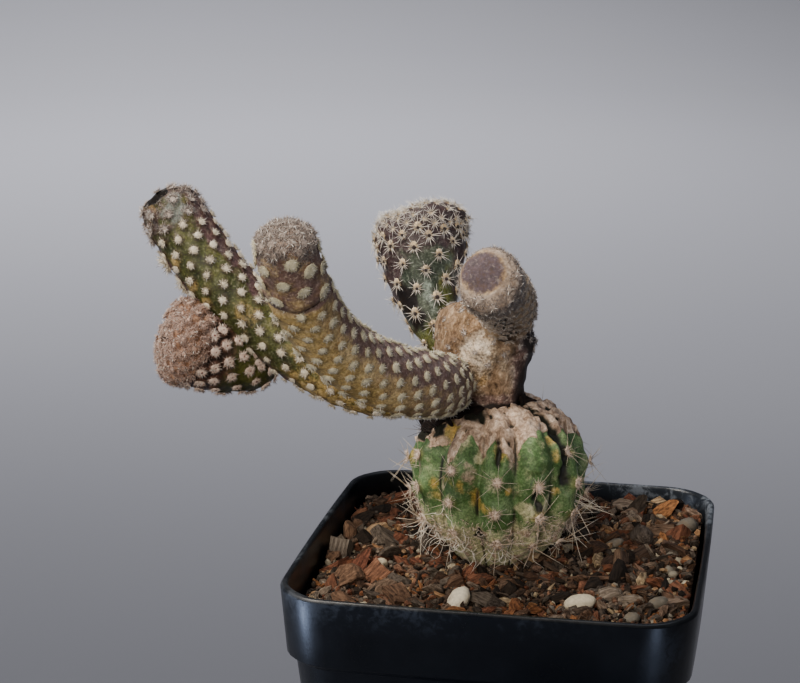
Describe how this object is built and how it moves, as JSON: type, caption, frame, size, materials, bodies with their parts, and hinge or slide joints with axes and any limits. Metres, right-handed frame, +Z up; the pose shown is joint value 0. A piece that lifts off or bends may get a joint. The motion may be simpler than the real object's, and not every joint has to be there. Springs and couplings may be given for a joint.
{
  "type": "grafted puna clavarioides cactus in pot",
  "caption": "Club-shaped cactus segments grafted on a round ribbed stock, standing in bark substrate in a square black nursery pot.",
  "frame": {"origin": "centre of the pot's flat underside, where the pot stands", "axes": "+Z up; +X and +Y along the pot's sides, the long left arm reaches towards -X and the nearest arm towards -Y"},
  "size_m": [0.1128, 0.0988, 0.1488],
  "materials": {
    "pot_plastic": "moulded black polypropylene, satin, scuffed at the rim",
    "bark_substrate": "composted bark chips with pale grit and a few pebbles",
    "stock_skin": "waxy green skin with corky top, woolly areoles and pale spines",
    "trunk_cork": "corky tan and orange-brown skin",
    "arm_skin": "matt olive and purple-brown skin with cream woolly areoles",
    "bud_wool": "skin under dense pinkish tan wool",
    "club_skin": "waxy blue-green and purple-brown skin with pale star-shaped spine clusters"
  },
  "bodies": {
    "root": {"pot": "pot_plastic", "substrate": "bark_substrate", "rootstock": "stock_skin", "scion_trunk": "trunk_cork", "scion_front_arm": "arm_skin", "scion_front_tip": "arm_skin", "scion_left_arm": "arm_skin", "scion_left_bud": "bud_wool", "scion_back_club": "club_skin", "scion_right_club": "bud_wool"}
  },
  "joints": []
}
